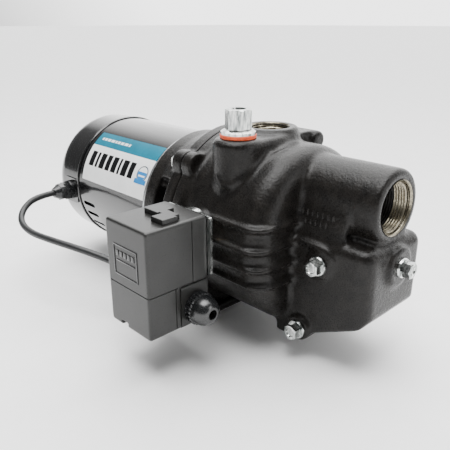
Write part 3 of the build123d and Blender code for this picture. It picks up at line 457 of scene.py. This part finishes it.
def castSkin(meshes, voxel, fillet, smoothing):
    # one skin over the joined meshes, with its inner corners filled as a moulder's fillet does
    whole = joined(meshes)
    steps = [("REMESH", {"mode": "VOXEL", "voxel_size": voxel * mm})]
    if fillet:
        steps += [
            ("DISPLACE", {"strength": fillet * mm, "mid_level": 0}),
            ("REMESH", {"mode": "VOXEL", "voxel_size": voxel * mm}),
            ("SMOOTH", {"factor": 0.5, "iterations": 4}),
            ("DISPLACE", {"strength": -fillet * mm, "mid_level": 0}),
            ("REMESH", {"mode": "VOXEL", "voxel_size": voxel * mm}),
        ]
    steps += [("SMOOTH", {"factor": 0.5, "iterations": smoothing})]
    return worked(whole, steps)


def cut(mesh, cutters):
    # takes the joined cutters out of a mesh
    tool = bpy.data.objects.new("cutter", joined(cutters))
    scene.collection.objects.link(tool)
    result = worked(mesh, [("BOOLEAN", {"operation": "DIFFERENCE", "solver": "MANIFOLD", "object": tool})])
    bpy.data.objects.remove(tool)
    return result


def cadMesh(node):
    return nodes[node].data.copy()


# pump casing: the CAD shape with its inside filled, then fillets and raised details, then the ports cut again
suction = {"face": 200, "z": 132.7, "root": 20.15, "crest": 19.0, "pitch": 2.209, "turns": 10, "bright": 6,
           "mouth": 21.6}
discharge = {"x": 72.7, "top": 177.3, "root": 15.95, "crest": 14.9, "pitch": 2.209, "turns": 8, "bright": 5,
             "mouth": 17.2}
casingLook = {
    "voxel": 1.1 if fine else 2.0,
    "fillet": 2.2,
    "smoothing": 4,
    "boltY": (-58, 58),
    "boltZ": (30, 146),
    "boltRadius": 5,
}
fillers = [
    rodMesh(74, (34, 0, 88), (37.5, 0, 88), 96),  # rear spigot
    rodMesh(21.4, (160, 0, suction["z"]), (197, 0, suction["z"])),  # suction port
    rodMesh(16.6, (discharge["x"], 0, 140), (discharge["x"], 0, 174.5)),  # discharge port
    rodMesh(11.6, (83, -49, 130), (83, -49, 172)),  # priming hole
    rodMesh(7.2, (200, 0, 88), (207.5, 0, 88)),  # front plug's hole
    rodMesh(7.2, (162, -30, 87), (162, -40, 87)),  # side plug's hole
    rodMesh(7.2, (146, -30, 25.5), (146, -41, 25.5)),  # drain plug's hole
    rodMesh(15.2, (72, -66, 103), (72, -80.5, 103)),  # switch nipple's hole
]
for y in casingLook["boltY"]:
    for z in casingLook["boltZ"]:
        fillers.append(rodMesh(casingLook["boltRadius"], (34.2, y, z), (44, y, z)))


def ridge(points, width, height, sink=1.2):
    # raised line on a wall that faces -Y: a lofted bead through points (x, y, z) in mm
    skin = bmesh.new()
    rings = []
    for i, point in enumerate(points):
        before = Vector(points[max(i - 1, 0)])
        after = Vector(points[min(i + 1, len(points) - 1)])
        side = (after - before).normalized().cross(Vector((0, -1, 0)))
        taper = 0.55 if i in (0, len(points) - 1) else 1
        section = []
        for step in range(10):
            angle = 2 * pi * step / 10
            section.append(Vector(point) + side * cos(angle) * width / 2 * taper
                           + Vector((0, -sin(angle) * height * taper if sin(angle) > 0 else sink, 0)))
        rings.append(section)
    loft(skin, rings, capStart=True, capEnd=True)
    return finished(skin)


def bead(points, radius):
    # round bead along points (x, y, z) in mm, half sunk in the wall under it
    skin = bmesh.new()
    rings = []
    for i, point in enumerate(points):
        run = Vector(points[min(i + 1, len(points) - 1)]) - Vector(points[max(i - 1, 0)])
        turn = Vector((0, 0, 1)).rotation_difference(run.normalized())
        rings.append([Vector(point) + turn @ corner for corner in ring(radius, 0, 12)])
    loft(skin, rings, capStart=True, capEnd=True)
    return finished(skin)


# lip under the top block, and the curved rib above the side plug
blockLip = {
    "radius": 1.7,
    "points": [
        (80, -69.6, 147), (82.6, -69.6, 143), (86, -69.4, 140.4), (91.8, -67.6, 140), (98.6, -62.4, 145.6),
        (102.6, -55.2, 151.6), (104.6, -43.8, 157.2), (108.2, -33.2, 162.5), (111.8, -21.6, 166)],
}
sideRib = {
    "wallY": -38.5,
    "width": 3.4,
    "height": 2.4,
    "points": [
        (134, 101), (142, 101.2), (151, 101.4), (159, 101.2), (166, 99.9), (171, 97.6), (174, 94.2),
        (175.5, 90)],
}
raised = [
    bead(blockLip["points"], blockLip["radius"]),
    ridge([(x, sideRib["wallY"], z) for x, z in sideRib["points"]], sideRib["width"], sideRib["height"]),
]
casing = castSkin([cadMesh("pump_casing"), *fillers, *raised],
                  casingLook["voxel"], casingLook["fillet"], casingLook["smoothing"])
print("casing skinned:", len(casing.polygons))
casing = cut(casing, [
    turnedMesh([(14, -58), (19.5, -40), (suction["root"], -26), (suction["root"], -1.5),
                (suction["mouth"], 0), (suction["mouth"], 6)],
               (suction["face"] * mm, 0, suction["z"] * mm), (1, 0, 0), 96)])
casing = cut(casing, [
    turnedMesh([(9, -50), (13.5, -36), (discharge["root"], -22), (discharge["root"], -1.3),
                (discharge["mouth"], 0), (discharge["mouth"], 6)],
               (discharge["x"] * mm, 0, discharge["top"] * mm), (0, 0, 1), 96)])
addPiece("pumpCasing", casing, "pump", "black_casting", ["pump_casing"], sharp=50)


def threadMesh(size, turns, place, along, first=0, count=96):
    # tapped pipe thread: one helical groove with a slight taper, from the chamfer or a first turn inwards
    skin = bmesh.new()
    rings = [] if first else [ring(size["mouth"] + 0.02, 0, count)]
    rows = 5
    for row in range(first * rows, (first + turns) * rows + 1):
        z = -1.4 - row * size["pitch"] / rows
        points = []
        for i in range(count):
            turn = i / count
            phase = (z / size["pitch"] + turn) % 1
            groove = 1 - abs(2 * phase - 1)
            r = size["crest"] + (size["root"] - size["crest"]) * min(1, max(0, groove * 1.25 - 0.12))
            r += z / 32 * 0.5
            fade = min(1, max(0, (row - 2) / rows))
            r = size["root"] * (1 - fade) + r * fade
            points.append(Vector((r * cos(2 * pi * turn), r * sin(2 * pi * turn), z)))
        rings.append(points)
    loft(skin, rings)
    mesh = finished(skin, place, along)
    mesh.flip_normals()
    return mesh


for portName, size, place, along in (
        ("suction", suction, (suction["face"] * mm, 0, suction["z"] * mm), (1, 0, 0)),
        ("discharge", discharge, (discharge["x"] * mm, 0, discharge["top"] * mm), (0, 0, 1))):
    addPiece(portName + "Thread", threadMesh(size, size["bright"], place, along), "pump", None,
             material=tappedIron, sharp=60)
    # turns deeper than the bright ones get the painted shade of the bore
    innerTurns = size["turns"] - size["bright"]
    addPiece(portName + "InnerThread", threadMesh(size, innerTurns, place, along, size["bright"]),
             "pump", None, material=boreShadePainted, sharp=60)


# foundry marks: two rows of short plain beads on the side of the chamber
markRows = {"rows": ((126, 7), (119, 5)), "start": 143, "step": 4.6, "shift": 3, "wallY": -38.4, "half": 2,
            "width": 1.7, "height": 0.9}
marks = []
for row, (z, count) in enumerate(markRows["rows"]):
    for number in range(count):
        x = markRows["start"] + number * markRows["step"] + row * markRows["shift"]
        heights = (z - markRows["half"], z, z + markRows["half"])
        marks.append(ridge([(x, markRows["wallY"], height) for height in heights],
                           markRows["width"], markRows["height"]))
addPiece("foundryMarks", joined(marks), "pump", "black_casting", sharp=50)


# motor label: white field and teal band wrapped round the shell, with plain bars and a round badge
labelLow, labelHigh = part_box("motor_label")
shellRadius = 69.5


def wrapped(rows, lift, thick=0.08):
    # thin slab on the shell through rows of (angle above the shaft in degrees, rear X, front X) in mm
    skin = bmesh.new()
    rings = []
    for angle, rear, front in rows:
        corners = [(rear, shellRadius + lift - thick), (front, shellRadius + lift - thick),
                   (front, shellRadius + lift), (rear, shellRadius + lift)]
        rings.append([Vector((x, -r * cos(radians(angle)), r * sin(radians(angle)) + shaftZ / mm))
                      for x, r in corners])
    loft(skin, rings, capStart=True, capEnd=True)
    return finished(skin)


def strip(low, high, rear, front):
    # rows of a plain rectangle, one about every degree
    count = max(2, int(high - low))
    return [(low + (high - low) * i / count, rear, front) for i in range(count + 1)]


def disc(angle, x, radius, low=-1.0, high=1.0):
    # rows of a disc, or of the part of it between two heights given as shares of its radius
    rows = []
    for i in range(25):
        rise = radius * (low + (high - low) * i / 24)
        half = sqrt(max(radius ** 2 - rise ** 2, 0.0004))
        rows.append((angle + degrees(rise / shellRadius), x - half, x + half))
    return rows


labelRear, labelFront = labelLow.x / mm, labelHigh.x / mm
labelLayout = {
    "low": 11,
    "band": 44,
    "high": 58,
    "lift": 0.3,
    "thick": 0.35,
    "inkLift": 0.36,
    "barWidths": (8.5, 4, 9, 7.5, 8.5, 3.5, 9, 8),
    "barAngles": (24.5, 38),
    "smallBars": 9,
    "smallAngles": (50, 52.6),
}
badge = {"angle": 31, "x": labelFront - 10.5, "radius": 8.2}
for name, low, high, slot, node, ink in (
        ("labelField", labelLayout["low"], labelLayout["band"], "label", ["motor_label"], None),
        ("labelBand", labelLayout["band"], labelLayout["high"], None, (), inks["Teal"])):
    patch = wrapped(strip(low, high, labelRear, labelFront), labelLayout["lift"], labelLayout["thick"])
    addPiece(name, patch, "pump", slot, node, material=ink)

x = labelRear + 7
bars = []
for width in labelLayout["barWidths"]:
    bars.append(wrapped(strip(*labelLayout["barAngles"], x, x + width), labelLayout["inkLift"]))
    x += width + 3
addPiece("labelBars", joined(bars), "pump", None, material=inks["Black"])

x = labelRear + 8
smallBars = []
for number in range(labelLayout["smallBars"]):
    width = 3 + (number * 5 % 4)
    smallBars.append(wrapped(strip(*labelLayout["smallAngles"], x, x + width), labelLayout["inkLift"]))
    x += width + 1.6
addPiece("bandBars", joined(smallBars), "pump", None, material=finish["label"])

# round badge, each layer a little further out than the one before
for name, rows, lift, ink in (
        ("badgeRim", disc(badge["angle"], badge["x"], badge["radius"]), 0.34, inks["Navy"]),
        ("badgeField", disc(badge["angle"], badge["x"], badge["radius"] - 1.1), 0.38, finish["label"]),
        ("badgeLower", disc(badge["angle"], badge["x"], badge["radius"] - 1.3, -0.95, 0.25),
         0.42, inks["Blue"]),
        ("badgeBar", strip(badge["angle"] - 2.6, badge["angle"] - 1.2, badge["x"] - 5, badge["x"] + 5),
         0.46, finish["label"]),
        ("badgeRibbon", strip(badge["angle"] - 8.4, badge["angle"] - 4.6, badge["x"] - 9, badge["x"] + 9),
         0.5, inks["Blue"])):
    addPiece(name, wrapped(rows, lift), "pump", None, material=ink)
print("label made")


# rolled bead where the motor's rear cap meets its shell
beadProfile = [(69.2, -1.8), (70.4, -1.6), (71, -0.6), (71, 0.6), (70.4, 1.6), (69.2, 1.8), (69.2, -1.8)]
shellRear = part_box("motor_shell")[0].x
addPiece("shellBead", turnedMesh(beadProfile, (shellRear, 0, shaftZ), (1, 0, 0), 128, False, False),
         "pump", "gloss_black")


def glandMesh(size, place, along):
    # moulded gland: collar, ribbed nut and a rounded dome with the cable's hole in it
    rows = [(size["collar"] * 0.9, 0), (size["collar"], 0.4), (size["collar"], size["collarEnd"] - 0.4),
            (size["collar"] - 0.4, size["collarEnd"])]
    nut = {"flutes": size["ribs"], "depth": size["ribDepth"]}
    rows += [(size["nut"] - 0.5, size["collarEnd"] + 0.05, nut), (size["nut"], size["collarEnd"] + 0.6, nut),
             (size["nut"], size["nutEnd"] - 0.8, nut), (size["nut"] - 0.8, size["nutEnd"], nut)]
    steps = 8
    rise = size["end"] - size["nutEnd"]
    for i in range(steps + 1):
        angle = pi / 2 * i / steps
        rows.append((size["hole"] + 0.6 + (size["dome"] - size["hole"] - 0.6) * cos(angle),
                     size["nutEnd"] + 0.05 + (rise - 0.05) * sin(angle)))
    rows += [(size["hole"], size["end"] - 0.2), (size["hole"], size["end"] - 7), (0.3, size["end"] - 7.1)]
    return turnedMesh(rows, place, along, 144)


# switch cover: rounded ABS shell with its shut lines cut in
coverLow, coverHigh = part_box("switch_cover")
coverBody = bodyOf["switch_cover"]
coverFace, nearFace = coverHigh.x / mm, coverLow.y / mm
shutLine = {"depth": 0.7, "half": 0.4, "seamY": -110, "stepY": -127, "stepTop": 72.6, "level": 73,
            "levelY": -125}
coverLook = {"voxel": 0.65 if fine else 1.2, "fillet": 0, "smoothing": 2}
cover = castSkin([cadMesh("switch_cover")], coverLook["voxel"], coverLook["fillet"], coverLook["smoothing"])
cut1, cut2 = coverFace - shutLine["depth"], coverFace + 2
cover = cut(cover, [
    boxMesh((cut1, shutLine["seamY"] - shutLine["half"], shutLine["level"]),
            (cut2, shutLine["seamY"] + shutLine["half"], 126)),
    boxMesh((cut1, shutLine["stepY"] - shutLine["half"], 34),
            (cut2, shutLine["stepY"] + shutLine["half"], shutLine["stepTop"]))])
levelLow, levelHigh = shutLine["level"] - shutLine["half"], shutLine["level"] + shutLine["half"]
cover = cut(cover, [
    boxMesh((cut1, -154, levelLow), (cut2, shutLine["levelY"], levelHigh)),
    boxMesh((40, nearFace - 2, levelLow), (cut2, nearFace + shutLine["depth"], levelHigh))])
addPiece("coverShell", cover, coverBody, "dark_plastic", ["switch_cover"], sharp=50)

# plain moulded frame on the cover's near side, with a row of bars in it
plate = {"left": 54, "right": 84, "low": 81, "high": 106, "line": 1.1, "proud": 0.55, "margin": 3.4,
         "inset": 1.2, "bars": 5, "barStep": 4.9, "barWidth": 3.4, "barLow": 97, "barHigh": 101.5,
         "ruleLow": 92.6, "ruleHigh": 93.8}


def raisedBar(left, right, low, high):
    return boxMesh((left, nearFace - plate["proud"], low), (right, nearFace + 0.4, high), 0.18)


sideLow, sideHigh = plate["low"] + plate["inset"], plate["high"] - plate["inset"]
frameBars = [
    raisedBar(plate["left"], plate["right"], plate["low"], plate["low"] + plate["line"]),
    raisedBar(plate["left"], plate["right"], plate["high"] - plate["line"], plate["high"]),
    raisedBar(plate["left"], plate["left"] + plate["line"], sideLow, sideHigh),
    raisedBar(plate["right"] - plate["line"], plate["right"], sideLow, sideHigh)]
for number in range(plate["bars"]):
    left = plate["left"] + plate["margin"] + number * plate["barStep"]
    frameBars.append(raisedBar(left, left + plate["barWidth"], plate["barLow"], plate["barHigh"]))
frameBars.append(raisedBar(plate["left"] + plate["margin"], plate["right"] - plate["margin"],
                           plate["ruleLow"], plate["ruleHigh"]))
addPiece("coverPlate", joined(frameBars), coverBody, "black_nylon")
print("switch cover made")

# supply gland, its far end where the CAD gland ends
supplyGland = {"collar": 12.4, "collarEnd": 2, "nut": 13.4, "ribs": 24, "ribDepth": 0.9, "nutEnd": 7.5,
               "dome": 12.2, "hole": 4, "end": 20}
seat = middle("supply_gland")
seat.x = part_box("supply_gland")[1].x - supplyGland["end"] * mm
addPiece("supplyGland", glandMesh(supplyGland, seat, (1, 0, 0)), "pump", "black_nylon", ["supply_gland"])

# adapter and base foot in the casting finish, with a lip round the adapter's rear edge
adapterLook = {"voxel": 0.9 if fine else 2.0, "fillet": 1.4, "smoothing": 3}
footLook = {"voxel": 1.2 if fine else 2.2, "fillet": 2.0, "smoothing": 4}
lip = [(70.2, -5.5), (72.6, -5.5), (73, -5), (73, 2), (70.2, 2), (70.2, -5.5)]
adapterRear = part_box("adapter")[0].x
lipMesh = turnedMesh(lip, (adapterRear, 0, shaftZ), (1, 0, 0), 128, False, False)
adapter = castSkin([cadMesh("adapter"), lipMesh], adapterLook["voxel"], adapterLook["fillet"],
                   adapterLook["smoothing"])
addPiece("adapterCasting", adapter, "pump", "black_casting", ["adapter"], sharp=50)
foot = castSkin([cadMesh("base_foot")], footLook["voxel"], footLook["fillet"], footLook["smoothing"])
addPiece("footCasting", foot, "pump", "black_casting", ["base_foot"], sharp=50)
print("castings made")


# pipe plugs: flange, turned hexagon and dished top
def plugMesh(size, place, along, count=72):
    skin = bmesh.new()
    top = size["flange"] + size["height"]
    rings = [ring(size["flangeRadius"] * 0.8, 0, count), ring(size["flangeRadius"], 0.05, count),
             ring(size["flangeRadius"], size["flange"] * 0.55, count),
             ring(size["flangeRadius"] - size["round"], size["flange"], count)]
    rings += hexHeadRings(size["flats"], size["flange"] + 0.05, top, 0.6, count)
    rings += [ring(size["dish"], top, count), ring(size["dish"] * 0.86, top - size["sunk"], count),
              ring(size["dish"] * 0.2, top - size["sunk"], count)]
    loft(skin, rings, capStart=True, capEnd=True)
    return finished(skin, place, along)


smallPlug = {"flats": 11.5, "height": 7, "flange": 2.2, "flangeRadius": 8, "round": 0.5, "dish": 3.8,
             "sunk": 1.0}
for plugName, node, along in (("sidePlug", "side_plug", (0, -1, 0)), ("drainPlug", "drain_plug", (0, -1, 0)),
                              ("frontPlug", "front_plug", (1, 0, 0))):
    low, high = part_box(node)
    seat = middle(node)
    reach = (smallPlug["flange"] + smallPlug["height"]) * mm
    if along[1]:
        seat.y = low.y + reach
    else:
        seat.x = high.x - reach
    addPiece(plugName, plugMesh(smallPlug, seat, along), "pump", "zinc", [node])

primingSize = {"flats": 19, "height": 16, "flange": 3.6, "flangeRadius": 14, "round": 2.4, "dish": 6.2,
               "sunk": 2.0}
seat = middle("priming_plug")
seat.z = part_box("priming_plug")[1].z - (primingSize["flange"] + primingSize["height"]) * mm
addPiece("primingPlug", plugMesh(primingSize, seat, (0, 0, 1)), "priming_cap", "zinc", ["priming_plug"])
sealProfile = [(11, 0.2), (14.2, 0.1), (14.6, 0.5), (14.65, 1.2), (14.35, 1.6), (14.65, 2.0), (14.6, 2.7),
               (14.2, 3.1), (11, 3.1)]
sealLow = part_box("priming_seal_ring")[0].z
addPiece("primingSeal", turnedMesh(sealProfile, (seat.x, seat.y, sealLow), (0, 0, 1)), "priming_cap",
         "orange_seal", ["priming_seal_ring"])
print("plugs made")


# floor, room light and lamps
floorReach = 30
corners = [(x * floorReach, y * floorReach, 0) for x, y in ((-1, -1), (1, -1), (1, 1), (-1, 1))]
floorMesh = bpy.data.meshes.new("studioFloor")
floorMesh.from_pydata(corners, [], [(0, 1, 2, 3)])
floor = bpy.data.objects.new("studioFloor", floorMesh)
scene.collection.objects.link(floor)
floorMesh.materials.append(makeMaterial(
    "paleStudioPaper", {"IOR": 1.45}, grains=[{"size": 40}],
    colour=(0, [(0.3, "f7f7f7"), (0.7, "fbfbfb")]), roughness=(0, [(0.3, 0.6), (0.7, 0.7)]),
    bumps=[(0, 0.01, 0.1)]))

world = bpy.data.worlds.new("softRoom")
scene.world = world
world.use_nodes = True
room = world.node_tree
# the room is bright behind and above the pump and dim elsewhere
glow = {"towards": (-0.35, 0.85, 0.4), "bright": 3.4}
sight = addNode(room, "ShaderNodeTexCoord").outputs["Generated"]
facing = addNode(room, "ShaderNodeVectorMath", {"operation": "DOT_PRODUCT", 1: glow["towards"]}, {0: sight})
shade = addNode(room, "ShaderNodeMapRange", {"From Min": -1, "From Max": 1},
                {"Value": facing.outputs["Value"]})
fade = addNode(room, "ShaderNodeValToRGB",
               {"stops": [(0, 0.05), (0.5, 0.06), (0.77, 0.1), (0.9, 1)]}, {"Fac": shade.outputs["Result"]})
power = addNode(room, "ShaderNodeMath", {"operation": "MULTIPLY", 1: glow["bright"]},
                {0: fade.outputs["Color"]})
room.links.new(power.outputs["Value"], room.nodes["Background"].inputs["Strength"])
room.nodes["Background"].inputs["Color"].default_value = toLinear("ffffff")


def softLamp(name, place, target, size, power):
    lampData = bpy.data.lights.new(name, "AREA")
    lampData.shape = "RECTANGLE"
    lampData.size, lampData.size_y = size
    lampData.energy = power
    lamp = bpy.data.objects.new(name, lampData)
    lamp.location = place
    lamp.rotation_euler = (Vector(target) - Vector(place)).to_track_quat("-Z", "Y").to_euler()
    scene.collection.objects.link(lamp)


softLamp("topSoftbox", (0.05, -0.25, 1.2), (0, 0, 0.1), (0.9, 0.7), 16)
ceilingData = bpy.data.lights.new("ceiling", "SUN")
ceilingData.energy = 4.2
ceilingData.angle = radians(70)
ceiling = bpy.data.objects.new("ceiling", ceilingData)
ceiling.rotation_euler = (radians(-12), radians(-10), 0)
scene.collection.objects.link(ceiling)
softLamp("rightSoftbox", (1.2, 0.3, 0.5), (0.1, 0, 0.1), (0.4, 0.8), 5)
print("stage made")
